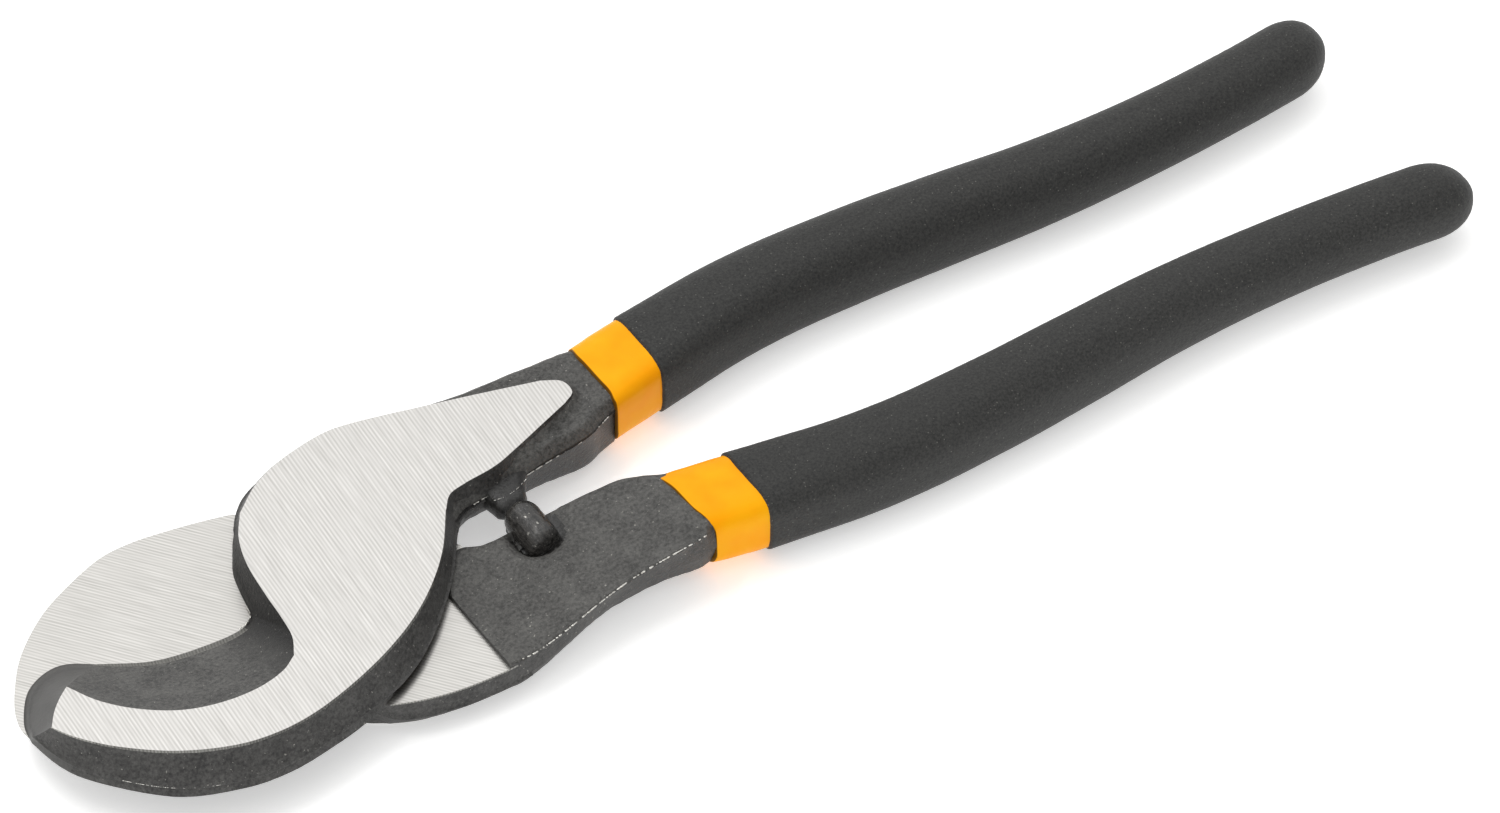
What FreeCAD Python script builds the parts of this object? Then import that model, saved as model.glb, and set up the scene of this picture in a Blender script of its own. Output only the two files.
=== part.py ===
import FreeCAD, Part
import math
import os

# Shear-type cable cutter, 250 mm long, drawn closed with the stop lugs touching.
# Millimetres. The origin is on the pivot axis at the ground back face, +X runs
# towards the handles, +Y towards the front lever's handle, +Z out of the front face.

OVERALL_L = 250.0
TIP_X = -60.4                  # tip of the closed jaws
END_X = OVERALL_L + TIP_X      # rounded end of the lower grip
UPPER_SHORTER = 1.2            # the upper dip was drawn a little shorter
REAR_T = 7.0                   # thickness of the rear head
FRONT_T = 6.0                  # thickness of the front head
MATE_Z = REAR_T                # the two ground faces slide on this plane
FACE_Z = REAR_T + FRONT_T
SLIDE_GAP = 0.05               # grease gap between the two ground faces
PARTING_RISE = 1.6             # forging parting line above the mating plane
PIN_R = 6.0
PIN_HEAD_R = 8.0
PIN_CONE_H = 2.0
PIN_TOP_SKIN = 2.0             # steel left over the blind end of the pin
PIN_GAP = 0.05                 # running clearance, radial
STEP_X = 8.3                   # where the raised neck starts, off the pivot axis
STEP_H = 0.8                   # how far a neck stands past the mating plane
STEP_RELIEF = 0.35
SWEEP_R = 60.0
OPEN_MAX = 40.0                # degrees the levers open
LUG_X = 25.8                   # middle of the stop lugs
LUG_R = 2.8
LUG_L = 10.0                   # rear lug, rounded end to rounded end
LUG_RISE = 1.5                 # its axis above the mating plane
LUG_GAP = 0.05
DIP_WALL = 1.1                 # inner dipped coat
GRIP_WALL = 1.7                # thick outer grip over it
GRIP_MID_Z = 7.2
BAND_UPPER = (49.4, 58.8)      # exposed inner coat, front lever
BAND_LOWER = (47.6, 57.9)      # the same on the rear lever
TANG_END_X = END_X - 22.0

# Grip stations: share of the run from the neck to the end, offset of the centre
# line from the tool's axis, half width, half thickness and squareness of the outside.
GRIP_RUN_X = 45.6
GRIP_STATIONS = [
    (0.000, 14.6, 8.3, 5.6, 3.6),
    (0.125, 17.7, 7.8, 6.4, 3.0),
    (0.250, 19.8, 7.2, 7.0, 2.6),
    (0.375, 19.6, 6.9, 7.2, 2.5),
    (0.500, 18.4, 6.6, 7.1, 2.5),
    (0.625, 17.1, 6.3, 6.5, 2.5),
    (0.750, 17.0, 6.0, 6.0, 2.5),
    (0.875, 18.0, 5.8, 5.7, 2.5),
    (0.945, 19.0, 5.8, 5.7, 2.4),
    (0.980, 19.6, 5.3, 5.3, 2.3),
    (0.993, 19.8, 4.3, 4.4, 2.2),
    (1.000, 19.9, 2.9, 3.1, 2.1),
]
SECTION_POINTS = 24


def vec(x, y, z):
    return FreeCAD.Vector(x, y, z)


def edge(points, z):
    pts = [vec(x, y, z) for x, y in points]
    if len(pts) == 2:
        return Part.makeLine(pts[0], pts[1])
    curve = Part.BSplineCurve()
    curve.interpolate(pts)
    return curve.toShape()


def outline(segments, z):
    return Part.Wire([edge(s, z) for s in segments])


def loft(wires, ruled=False):
    return Part.makeLoft(wires, True, ruled)


def blend(low, high, shares):
    """Segments part of the way from one outline to another, the share given where
    each segment starts."""
    made = []
    for i, (a, b) in enumerate(zip(low, high)):
        first = shares[i]
        last = shares[(i + 1) % len(low)]
        points = []
        for k, (p, q) in enumerate(zip(a, b)):
            share = first + (last - first) * k / (len(a) - 1)
            points.append((p[0] + (q[0] - p[0]) * share, p[1] + (q[1] - p[1]) * share))
        made.append(points)
    return made


def fused(solids):
    whole = solids[0].multiFuse(solids[1:])
    return whole.removeSplitter()


# ---- heads ---------------------------------------------------------------

# Front lever, ground face: tip, hook's inner edge, disc, tongue, belly.
FRONT_FACE = [
    [(-59.4, -5.2), (-56.0, -1.8), (-53.2, 0.9)],
    [(-53.2, 0.9), (-50.6, -4.2), (-46.5, -8.8), (-41.0, -12.6), (-35.0, -14.5),
     (-29.0, -14.9), (-24.0, -13.9), (-20.8, -12.0)],
    [(-20.8, -12.0), (-19.0, -8.5), (-18.3, -4.0), (-17.9, 1.0), (-17.0, 8.0),
     (-15.2, 13.5), (-12.3, 18.0)],
    [(-12.3, 18.0), (-7.0, 22.0), (-1.0, 24.4), (7.0, 25.8), (13.0, 25.1),
     (22.0, 22.8), (32.0, 20.1), (41.5, 17.4)],
    [(41.5, 17.4), (44.2, 15.6), (44.4, 12.8), (42.2, 11.3)],
    [(42.2, 11.3), (37.0, 9.4), (31.0, 7.2), (26.0, 5.6), (20.5, 5.0)],
    [(20.5, 5.0), (17.0, 4.2), (14.6, 1.6)],
    [(14.6, 1.6), (10.0, -5.0), (5.0, -10.2), (-1.0, -14.8), (-8.0, -18.6),
     (-16.0, -21.7), (-24.0, -23.8), (-31.0, -24.3), (-38.0, -23.1),
     (-46.0, -19.4), (-53.0, -13.9), (-57.2, -9.0), (-59.4, -5.2)],
]
# The same edges where the forging meets the mating plane.
FRONT_FOOT = [
    [(-61.0, -1.0), (-59.0, 5.6), (-51.2, 9.9)],
    [(-51.2, 9.9), (-47.3, 9.1), (-44.0, 7.0), (-40.0, 4.1), (-35.0, 2.4),
     (-29.0, 1.6), (-24.5, 1.5), (-21.4, 1.8)],
    [(-21.4, 1.8), (-19.6, 2.6), (-18.9, 5.0), (-18.2, 8.0), (-17.2, 12.0),
     (-15.2, 15.6), (-12.8, 19.4)],
    [(-12.8, 19.4), (-8.0, 24.2), (-1.5, 26.6), (7.0, 27.6), (13.5, 26.8),
     (22.5, 24.4), (32.5, 21.6), (42.0, 18.4)],
    [(42.0, 18.4), (45.6, 16.0), (45.8, 12.2), (43.0, 10.0)],
    [(43.0, 10.0), (37.5, 8.0), (31.5, 5.8), (26.0, 4.2), (21.0, 3.6)],
    [(21.0, 3.6), (18.0, 2.6), (15.6, 0.2)],
    [(15.6, 0.2), (11.0, -6.2), (6.0, -11.8), (-1.0, -18.0), (-8.0, -22.2),
     (-16.0, -25.1), (-24.0, -26.9), (-31.0, -27.6), (-39.0, -26.7),
     (-48.2, -22.7), (-55.6, -15.2), (-59.6, -8.7), (-61.0, -1.0)],
]

# Rear lever, ground face on the mating plane: cutting edge, throat, belly, back.
REAR_FACE = [
    [(-59.4, -3.4), (-52.0, -4.9), (-43.0, -6.8), (-33.0, -8.2), (-23.0, -8.4)],
    [(-23.0, -8.4), (-19.5, -10.5), (-17.5, -15.0), (-15.6, -20.5), (-11.0, -23.8)],
    [(-11.0, -23.8), (-6.0, -25.8), (0.0, -27.1), (7.0, -27.5), (12.0, -27.1)],
    [(12.0, -27.1), (15.0, -12.0), (15.6, -1.0)],
    [(15.6, -1.0), (11.0, 6.2), (6.0, 11.8), (-1.0, 18.2), (-8.0, 23.0)],
    [(-8.0, 23.0), (-15.0, 24.9), (-21.0, 26.1), (-27.0, 26.9), (-33.0, 26.4),
     (-41.0, 23.5), (-47.0, 20.1), (-53.0, 15.2), (-57.0, 10.2), (-60.0, 5.0),
     (-60.9, 0.6), (-59.4, -3.4)],
]
# The same edges on the back face, drawn in by the bevel and the forging draft.
REAR_BACK = [
    [(-55.6, 5.0), (-49.0, 4.4), (-41.5, 2.2), (-32.5, 0.8), (-22.0, 0.4)],
    [(-22.0, 0.4), (-17.5, -5.0), (-15.6, -13.0), (-13.6, -18.5), (-9.8, -21.4)],
    [(-9.8, -21.4), (-5.2, -23.2), (0.6, -24.2), (7.0, -24.6), (11.0, -24.2)],
    [(11.0, -24.2), (12.8, -12.0), (13.2, -1.6)],
    [(13.2, -1.6), (9.2, 4.4), (4.4, 9.8), (-2.4, 15.8), (-9.0, 20.0)],
    [(-9.0, 20.0), (-15.6, 21.8), (-21.4, 22.9), (-27.0, 23.8), (-32.2, 23.5),
     (-39.8, 20.9), (-45.4, 18.0), (-50.0, 14.2), (-53.0, 10.8), (-54.6, 8.4),
     (-55.4, 6.6), (-55.6, 5.0)],
]

# How far the rear walls have drawn in at the parting line, segment by segment: the
# tip and the bevel slope from the mating plane, the belly stands nearly upright.
REAR_SHARES = [0.45, 0.45, 0.05, 0.03, 0.2, 0.1]


def front_head():
    base_z = MATE_Z + SLIDE_GAP
    part_z = MATE_Z + PARTING_RISE
    share = 0.5 * PARTING_RISE / FRONT_T
    at_parting = blend(FRONT_FOOT, FRONT_FACE, [share] * len(FRONT_FOOT))
    return loft([outline(FRONT_FOOT, base_z), outline(at_parting, part_z),
                 outline(FRONT_FACE, FACE_Z)], True)


def rear_head():
    part_z = MATE_Z - 0.45 * REAR_T
    at_parting = blend(REAR_FACE, REAR_BACK, REAR_SHARES)
    return loft([outline(REAR_BACK, 0.0), outline(at_parting, part_z),
                 outline(REAR_FACE, MATE_Z)], True)


# ---- necks, lugs and tangs ---------------------------------------------------

# x, inner edge, outer edge, rise past the step on the other lever's side, and
# thickness on the lever's own side for the front lever and for the rear lever.
NECK_STATIONS = [
    (STEP_X, 10.6, 27.4, 0.0, 4.6, 6.6),
    (14.0, 1.8, 27.0, 0.3, 4.6, 6.2),
    (20.0, 3.6, 26.0, 0.8, 4.6, 5.6),
    (28.0, 4.6, 24.6, 1.8, 4.6, 5.0),
    (36.0, 5.6, 24.0, 3.0, 4.6, 4.8),
    (43.0, 6.2, 23.6, 4.0, 4.7, 4.8),
]
NECK_END = (8.8, 22.8, 4.2, 4.7, 4.7)
NECK_DRAFT = 3.6


def neck_section(x, inner, outer, beyond, own_front, own_rear, side):
    """One hexagonal forging section. side is +1 for the front lever."""
    own = own_front if side > 0 else own_rear
    near = MATE_Z - side * (STEP_H + beyond)
    flash = near + side * 0.9
    far = MATE_Z + side * own
    pts = [(inner + 0.7, near), (outer - 0.7, near), (outer, flash),
           (outer - NECK_DRAFT, far), (inner + 0.6 * NECK_DRAFT, far), (inner, flash)]
    ring = [vec(x, side * y, z) for y, z in pts]
    return Part.makePolygon(ring + ring[:1])


def neck(side, end_x):
    rings = [neck_section(*row, side) for row in NECK_STATIONS]
    rings.append(neck_section(end_x, *NECK_END, side))
    return loft(rings)


def end_of(side):
    return END_X - UPPER_SHORTER if side > 0 else END_X


def grip_at(x, side):
    """Centre offset, half width, half thickness and squareness of the outside at x."""
    share = (x - GRIP_RUN_X) / (end_of(side) - GRIP_RUN_X)
    share = min(max(share, 0.0), 1.0)
    for a, b in zip(GRIP_STATIONS, GRIP_STATIONS[1:]):
        if share <= b[0]:
            t = (share - a[0]) / (b[0] - a[0])
            return [p + (q - p) * t for p, q in zip(a[1:], b[1:])]
    return list(GRIP_STATIONS[-1][1:])


def section(x, side, inset):
    centre, half_w, half_t, power = grip_at(x, side)
    half_w -= inset
    half_t -= inset
    pts = []
    for i in range(SECTION_POINTS):
        a = 2.0 * math.pi * i / SECTION_POINTS
        c = math.cos(a)
        s = math.sin(a)
        y = math.copysign(abs(c) ** (2.0 / power), c) * half_w
        z = math.copysign(abs(s) ** (2.0 / power), s) * half_t
        pts.append(vec(x, side * (centre + y), GRIP_MID_Z + z))
    curve = Part.BSplineCurve()
    curve.interpolate(pts, PeriodicFlag=True)
    return Part.Wire([curve.toShape()])


def run(start, end, side, inset):
    """A lofted bar along the grip's path, drawn in by an even inset."""
    length = end_of(side) - GRIP_RUN_X
    xs = [GRIP_RUN_X + row[0] * length for row in GRIP_STATIONS]
    inner = [x for x in xs if start + 3.0 < x < end - 3.0]
    return loft([section(x, side, inset) for x in [start] + inner + [end]])


def tang(side, start_x):
    return run(start_x, TANG_END_X, side, GRIP_WALL + DIP_WALL)


def dip_core(side, start_x):
    """Outside of the dipped coat: full size where it shows, thinner in the grip."""
    shown = run(start_x, BAND_UPPER[1] + 3.0, side, 0.35)
    hidden = run(BAND_UPPER[1] + 2.0, TANG_END_X + DIP_WALL, side, GRIP_WALL)
    return fused([shown, hidden])


def front_lug():
    """Wedge under the front neck that lands on the rear lever's round lug."""
    sides = [[(LUG_X - 2.2, LUG_GAP), (LUG_X + 3.2, LUG_GAP)],
             [(LUG_X + 3.2, LUG_GAP), (LUG_X + 5.2, 2.6), (LUG_X + 9.4, 7.4)],
             [(LUG_X + 9.4, 7.4), (LUG_X - 3.6, 7.4)],
             [(LUG_X - 3.6, 7.4), (LUG_X - 2.2, LUG_GAP)]]
    low = outline(sides, MATE_Z - 1.4)
    return Part.Face(low).extrude(vec(0.0, 0.0, 5.0))


def rear_lug():
    axis_z = MATE_Z + LUG_RISE
    back_y = LUG_R - LUG_L
    rod = Part.makeCylinder(LUG_R, LUG_L - 2.0 * LUG_R, vec(LUG_X, back_y, axis_z),
                            vec(0.0, 1.0, 0.0))
    nose = Part.makeSphere(LUG_R, vec(LUG_X, -LUG_R, axis_z))
    tail = Part.makeSphere(LUG_R, vec(LUG_X, back_y, axis_z))
    root = outline([[(LUG_X - 2.2, -1.6), (LUG_X + 2.6, -1.6)],
                    [(LUG_X + 2.6, -1.6), (LUG_X + 4.0, -3.4), (LUG_X + 8.0, -6.8)],
                    [(LUG_X + 8.0, -6.8), (LUG_X - 5.6, -6.8)],
                    [(LUG_X - 5.6, -6.8), (LUG_X - 3.4, -3.2), (LUG_X - 2.2, -1.6)]],
                   MATE_Z - 2.4)
    gusset = Part.Face(root).extrude(vec(0.0, 0.0, 4.4))
    return rod.multiFuse([nose, tail, gusset])


def step_sweep(side):
    """What the other lever's raised neck passes through while the levers turn."""
    height = STEP_H + STEP_RELIEF
    low_z = MATE_Z if side > 0 else MATE_Z - height
    near_r = STEP_X - STEP_RELIEF
    angle = OPEN_MAX + 2.0
    start = Part.makeBox(SWEEP_R, SWEEP_R, height, vec(near_r, -SWEEP_R, low_z))
    end = start.copy()
    end.rotate(vec(0.0, 0.0, 0.0), vec(0.0, 0.0, 1.0), -angle)
    fan = Part.makeCylinder(SWEEP_R, height, vec(0.0, 0.0, low_z), vec(0.0, 0.0, 1.0), angle)
    fan.rotate(vec(0.0, 0.0, 0.0), vec(0.0, 0.0, 1.0), -angle)
    fan = fan.cut(Part.makeCylinder(near_r, height, vec(0.0, 0.0, low_z)))
    swept = start.multiFuse([end, fan])
    if side < 0:
        swept = swept.mirror(vec(0.0, 0.0, 0.0), vec(0.0, 1.0, 0.0))
    return swept


# ---- pivot pin -----------------------------------------------------------------

def pin_shape(gap):
    top = FACE_Z - PIN_TOP_SKIN
    shaft = Part.makeCylinder(PIN_R + gap, top)
    head = Part.makeCone(PIN_HEAD_R + gap, PIN_R + gap, PIN_CONE_H)
    return shaft.fuse(head)


def front_lever():
    body = front_head().cut(step_sweep(1))
    whole = fused([body, neck(1, BAND_UPPER[0]), tang(1, BAND_UPPER[0] - 0.5), front_lug()])
    return whole.cut(pin_shape(0.0))


def rear_lever():
    body = rear_head().cut(step_sweep(-1))
    whole = fused([body, neck(-1, BAND_LOWER[0]), tang(-1, BAND_LOWER[0] - 0.5), rear_lug()])
    return whole.cut(pin_shape(PIN_GAP))


def inner_dip(side, band):
    return dip_core(side, band[0]).cut(tang(side, band[0] - 0.5))


def outer_grip(side, band):
    return run(band[1], end_of(side), side, 0.0).cut(dip_core(side, band[0]))


NODES = {
    "front_lever": front_lever,
    "rear_lever": rear_lever,
    "pivot_pin": lambda: pin_shape(0.0),
    "upper_inner_dip": lambda: inner_dip(1, BAND_UPPER),
    "lower_inner_dip": lambda: inner_dip(-1, BAND_LOWER),
    "upper_grip": lambda: outer_grip(1, BAND_UPPER),
    "lower_grip": lambda: outer_grip(-1, BAND_LOWER),
}

os.makedirs("parts", exist_ok=True)
for node, make in NODES.items():
    shape = make()
    if len(shape.Solids) == 1:
        shape = shape.Solids[0]
    shape.exportStep("parts/" + node + ".step")
    box = shape.BoundBox
    print(node, shape.ShapeType, shape.isValid(), round(shape.Volume, 1),
          [round(v, 2) for v in (box.XMin, box.XMax, box.YMin, box.YMax, box.ZMin, box.ZMax)])
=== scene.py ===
import math
import bmesh
import bpy
import numpy as np
from mathutils import Matrix, Vector, noise


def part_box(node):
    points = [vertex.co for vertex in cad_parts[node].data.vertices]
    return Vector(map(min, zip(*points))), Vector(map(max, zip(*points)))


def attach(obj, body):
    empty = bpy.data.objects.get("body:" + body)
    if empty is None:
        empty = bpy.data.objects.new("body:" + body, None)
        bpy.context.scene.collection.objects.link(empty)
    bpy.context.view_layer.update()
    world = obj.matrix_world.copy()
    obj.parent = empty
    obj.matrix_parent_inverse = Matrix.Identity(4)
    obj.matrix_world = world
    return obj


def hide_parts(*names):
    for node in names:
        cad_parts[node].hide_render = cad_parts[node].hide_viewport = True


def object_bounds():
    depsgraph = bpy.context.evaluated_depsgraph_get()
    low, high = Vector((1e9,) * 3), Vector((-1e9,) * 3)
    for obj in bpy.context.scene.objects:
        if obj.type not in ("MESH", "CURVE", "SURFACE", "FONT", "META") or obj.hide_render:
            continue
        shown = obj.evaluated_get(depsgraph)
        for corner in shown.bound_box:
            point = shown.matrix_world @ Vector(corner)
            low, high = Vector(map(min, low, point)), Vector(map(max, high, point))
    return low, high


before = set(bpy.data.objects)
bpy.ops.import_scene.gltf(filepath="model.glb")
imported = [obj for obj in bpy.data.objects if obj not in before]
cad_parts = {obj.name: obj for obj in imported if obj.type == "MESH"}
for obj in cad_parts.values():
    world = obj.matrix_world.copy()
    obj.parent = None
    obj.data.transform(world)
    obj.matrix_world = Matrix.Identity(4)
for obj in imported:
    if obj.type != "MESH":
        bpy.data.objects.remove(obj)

cad_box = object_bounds()
MM = 0.001

# ---- front lever ---------------------------------------------------------------
# One drop forging of carbon steel: hook jaw, pivot disc, tongue and neck. The sides
# keep their black forging scale and draft, the front face is surface ground bright.


def walk(points, count):
    """Evenly spaced points on a smooth line through the given ones, last one left off."""
    straight_steps, curve_steps = 60, 24     # a chord, and each span of a curve
    p = [np.array(q, float) for q in points]
    if len(p) == 2:
        fine = np.linspace(p[0], p[1], straight_steps)
    else:
        p = [2 * p[0] - p[1]] + p + [2 * p[-1] - p[-2]]
        fine = []
        for a, b, c, d in zip(p, p[1:], p[2:], p[3:]):
            for t in np.linspace(0.0, 1.0, curve_steps, endpoint=False):
                fine.append(0.5 * (2 * b + (c - a) * t + (2 * a - 5 * b + 4 * c - d) * t * t
                                   + (3 * b - 3 * c + d - a) * t ** 3))
        fine = np.array(fine + [p[-2]])
    run = np.concatenate([[0.0], np.cumsum(np.linalg.norm(np.diff(fine, axis=0), axis=1))])
    at = np.linspace(0.0, run[-1], count + 1)[:-1]
    return np.stack([np.interp(at, run, fine[:, i]) for i in range(fine.shape[1])], 1)


def length_of(points):
    return float(np.linalg.norm(np.diff(np.array(points, float), axis=0), axis=1).sum())


def matched(top, foot, step):
    """The two outlines of a drafted wall with the same count of points on each stretch."""
    counts = [max(4, int(max(length_of(a), length_of(b)) / step)) for a, b in zip(top, foot)]
    which = np.concatenate([np.full(n, i) for i, n in enumerate(counts)])
    return (np.concatenate([walk(a, n) for a, n in zip(top, counts)]),
            np.concatenate([walk(b, n) for b, n in zip(foot, counts)]), which)


def outward(ring):
    """Unit normals in plan of a closed outline, pointing away from its inside."""
    step = np.roll(ring, -1, 0) - np.roll(ring, 1, 0)
    n = np.stack([step[:, 1], -step[:, 0]], 1)
    n /= np.linalg.norm(n, axis=1)[:, None] + 1e-9
    x, y = ring[:, 0], ring[:, 1]
    area = np.sum(x * np.roll(y, -1) - np.roll(x, -1) * y)
    return n if area > 0 else -n


def relieved(point, side):
    """Moves a point in plan clear of the space the other lever's raised neck sweeps."""
    shoulder, slack = 7.85, 0.45             # where that neck rises, and room left before it
    foot, slope, least = 9.4, 1.9, 1.6       # its inner edge there, and how that runs inward
    swing = np.radians(np.arange(0.0, 43.0, 2.0))
    q = np.array((point[0], side * point[1]))
    for _ in range(4):
        worst, push = 0.0, None
        for turn in swing:
            way = np.array((math.cos(turn), -math.sin(turn)))
            over = q @ way - shoulder
            y = q[0] * math.sin(turn) + q[1] * math.cos(turn)
            if over > worst and y < 0.3 - max(least, foot - slope * (over - slack)):
                worst, push = over, way
        if push is None:
            break
        q = q - worst * push
    return q[0], side * q[1]


def hammer(p, big=0.10, small=0.035):
    """The small unevenness of a forged skin at a point, in millimetres."""
    v = Vector(p)
    return big * noise.noise(v / 4.6) + small * noise.noise(v / 1.1)


def squared(count, power):
    """Cosine and sine round a circle that is squared off by a power under 1."""
    for a in np.linspace(0.0, 2 * math.pi, count, endpoint=False):
        yield (math.copysign(abs(math.cos(a)) ** power, math.cos(a)),
               math.copysign(abs(math.sin(a)) ** power, math.sin(a)))


def circle(radius, z):
    """Points of a level ring about the pivot."""
    return [(radius * math.cos(a), radius * math.sin(a), z)
            for a in np.linspace(0.0, 2 * math.pi, 96, endpoint=False)]


def put(name, data):
    """Makes an object of a mesh, a lamp or a camera and links it to the scene."""
    made = bpy.data.objects.new(name, data)
    bpy.context.scene.collection.objects.link(made)
    return made


# the skins of the two forgings, in the order of their material slots
FACE, EDGE, TIPS, SCALE, HOLLOW, WORN, LIT_TOP, SHADED = range(8)


class Shell:
    """Collects rings and caps of one piece in millimetres, then makes the object."""

    def __init__(self):
        self.bm = bmesh.new()

    def ring(self, points):
        return [self.bm.verts.new(p) for p in points]

    def band(self, a, b, stuff):
        """Joins two rings. stuff is a material slot, or gives one for each point."""
        n = len(a)
        for i in range(n):
            j = (i + 1) % n
            f = self.bm.faces.new((a[i], a[j], b[j], b[i]))
            f.material_index = stuff(i) if callable(stuff) else stuff
            f.smooth = True

    def cap(self, rings, stuff):
        """Fills a ring with a flat face, less the holes that further rings bound."""
        edges = []
        for r in rings:
            for a, b in zip(r, r[1:] + r[:1]):
                edges.append(self.bm.edges.get((a, b)) or self.bm.edges.new((a, b)))
        made = bmesh.ops.triangle_fill(self.bm, use_beauty=True, edges=edges)
        for g in made["geom"]:
            if isinstance(g, bmesh.types.BMFace):
                g.material_index = stuff

    def tube(self, rows, stuff, end):
        """Skins over rows of points and closes both ends. stuff may be one for each row."""
        last = None
        for k, row in enumerate(rows):
            ring = self.ring(row)
            if last:
                self.band(last, ring, stuff[k] if isinstance(stuff, list) else stuff)
            else:
                self.cap([ring], end)
            last = ring
        self.cap([last], end)

    def piece(self, name, materials):
        """Makes the object. Edges over 34 degrees, and those of ground skins, stay sharp."""
        sharp = 34.0
        bm = self.bm
        bmesh.ops.recalc_face_normals(bm, faces=bm.faces)
        for e in bm.edges:
            if len(e.link_faces) == 2:
                a, b = e.link_faces
                ground = min(a.material_index, b.material_index) <= TIPS
                e.smooth = ((a.material_index == b.material_index or not ground)
                            and e.calc_face_angle(0.0) < math.radians(sharp))
        bm.transform(Matrix.Scale(MM, 4))
        mesh = bpy.data.meshes.new(name)
        bm.to_mesh(mesh)
        bm.free()
        for m in materials:
            mesh.materials.append(m)
        return put(name, mesh)


def linear(hex_colour):
    """An sRGB hex colour as linear red, green, blue and alpha."""
    made = []
    for i in (1, 3, 5):
        c = int(hex_colour[i:i + 2], 16) / 255.0
        made.append(c / 12.92 if c <= 0.04045 else ((c + 0.055) / 1.055) ** 2.4)
    return (*made, 1.0)


def add_node(tree, kind, settings=None, links=None):
    """Adds a node. settings are its properties or socket values, links what feeds it."""
    node = tree.nodes.new(kind)
    for key, value in (settings or {}).items():
        if isinstance(key, str) and hasattr(node, key) and key not in node.inputs:
            setattr(node, key, value)
        else:
            node.inputs[key].default_value = value
    for key, source in (links or {}).items():
        tree.links.new(source, node.inputs[key])
    return node


def new_material(name):
    """A material with its shader, and object coordinates to lay patterns out in."""
    made = bpy.data.materials.new(name)
    made.use_nodes = True
    tree = made.node_tree
    tree.nodes.clear()
    shader = add_node(tree, "ShaderNodeBsdfPrincipled")
    add_node(tree, "ShaderNodeOutputMaterial", links={"Surface": shader.outputs["BSDF"]})
    place = add_node(tree, "ShaderNodeTexCoord").outputs["Object"]
    return made, tree, shader, place


def ramp(tree, source, stops):
    """A colour ramp. Its stops are a place with a hex colour or a grey value."""
    node = add_node(tree, "ShaderNodeValToRGB", links={"Fac": source})
    while len(node.color_ramp.elements) < len(stops):
        node.color_ramp.elements.new(0.5)
    for e, (at, colour) in zip(node.color_ramp.elements, stops):
        e.position = at
        e.color = linear(colour) if isinstance(colour, str) else (colour,) * 3 + (1.0,)
    return node.outputs["Color"]


def noise_node(tree, place, scale, detail, roughness=0.5):
    return add_node(tree, "ShaderNodeTexNoise",
                    {"Scale": scale, "Detail": detail, "Roughness": roughness},
                    {"Vector": place}).outputs["Fac"]


def math_node(tree, operation, *values):
    """A sum on sockets or plain numbers."""
    node = add_node(tree, "ShaderNodeMath", {"operation": operation})
    for i, v in enumerate(values):
        if isinstance(v, (int, float)):
            node.inputs[i].default_value = v
        else:
            tree.links.new(v, node.inputs[i])
    return node.outputs[0]


def laid_over(tree, share, below, colour):
    """Lays a plain colour over what is below, by a share from 0 to 1."""
    node = add_node(tree, "ShaderNodeMix", {"data_type": "RGBA"}, {"Factor": share, 6: below})
    node.inputs[7].default_value = linear(colour)
    return node.outputs[2]


def finished(tree, shader, colour, rough, height, strength, relief, ior=None):
    """Links colour, roughness and relief in metres to the shader. A metal has no ior."""
    bump = add_node(tree, "ShaderNodeBump", {"Strength": strength, "Distance": relief},
                    {"Height": height})
    for socket, source in (("Base Color", colour), ("Roughness", rough),
                           ("Normal", bump.outputs[0])):
        tree.links.new(source, shader.inputs[socket])
    if ior:
        shader.inputs["IOR"].default_value = ior


def ground_steel(name, turn, pitch_mm, light, dark, rings=False):
    """Ground carbon steel: bright satin with straight wheel lines one pitch apart, which
    wander a little and break up, or rings when it was turned. Drawn a shade coarser
    than the half millimetre of a real wheel so that the lines can be seen."""
    made, tree, shader, place = new_material(name)
    turned = add_node(tree, "ShaderNodeMapping", {"Rotation": (0, 0, math.radians(turn))},
                      {"Vector": place}).outputs["Vector"]
    if rings:
        flat = add_node(tree, "ShaderNodeVectorMath", {"operation": "MULTIPLY", 1: (1, 1, 0)},
                        {0: place})
        radius = add_node(tree, "ShaderNodeVectorMath", {"operation": "LENGTH"},
                          {0: flat.outputs[0]})
        turned = add_node(tree, "ShaderNodeCombineXYZ",
                          links={0: radius.outputs["Value"]}).outputs[0]
    across = add_node(tree, "ShaderNodeSeparateXYZ", links={0: turned}).outputs[0]
    slow = add_node(tree, "ShaderNodeMapping", {"Scale": (1 / (4 * MM), 1 / (40 * MM), 0.0)},
                    {"Vector": turned})
    wander = noise_node(tree, slow.outputs[0], 1.0, 1.0)
    phase = math_node(tree, "MULTIPLY_ADD", across, 2 * math.pi / (pitch_mm * MM),
                      math_node(tree, "MULTIPLY", wander, 7.0))
    fine = add_node(tree, "ShaderNodeMapping",
                    {"Scale": (1 / (0.5 * pitch_mm * MM), 1 / (9 * MM), 0.0)},
                    {"Vector": turned})
    lines = noise_node(tree, fine.outputs[0], 1.0, 2.0, 0.6)
    mixed = math_node(tree, "MULTIPLY_ADD", math_node(tree, "SINE", phase), 0.10,
                      math_node(tree, "MULTIPLY", lines, 0.45))
    finished(tree, shader, ramp(tree, mixed, [(0.0, dark), (0.45, light)]),
             ramp(tree, lines, [(0.3, 0.33), (0.7, 0.39)]), mixed, 0.15, 0.00005)
    shader.inputs["Metallic"].default_value = 1.0
    return made


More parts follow.
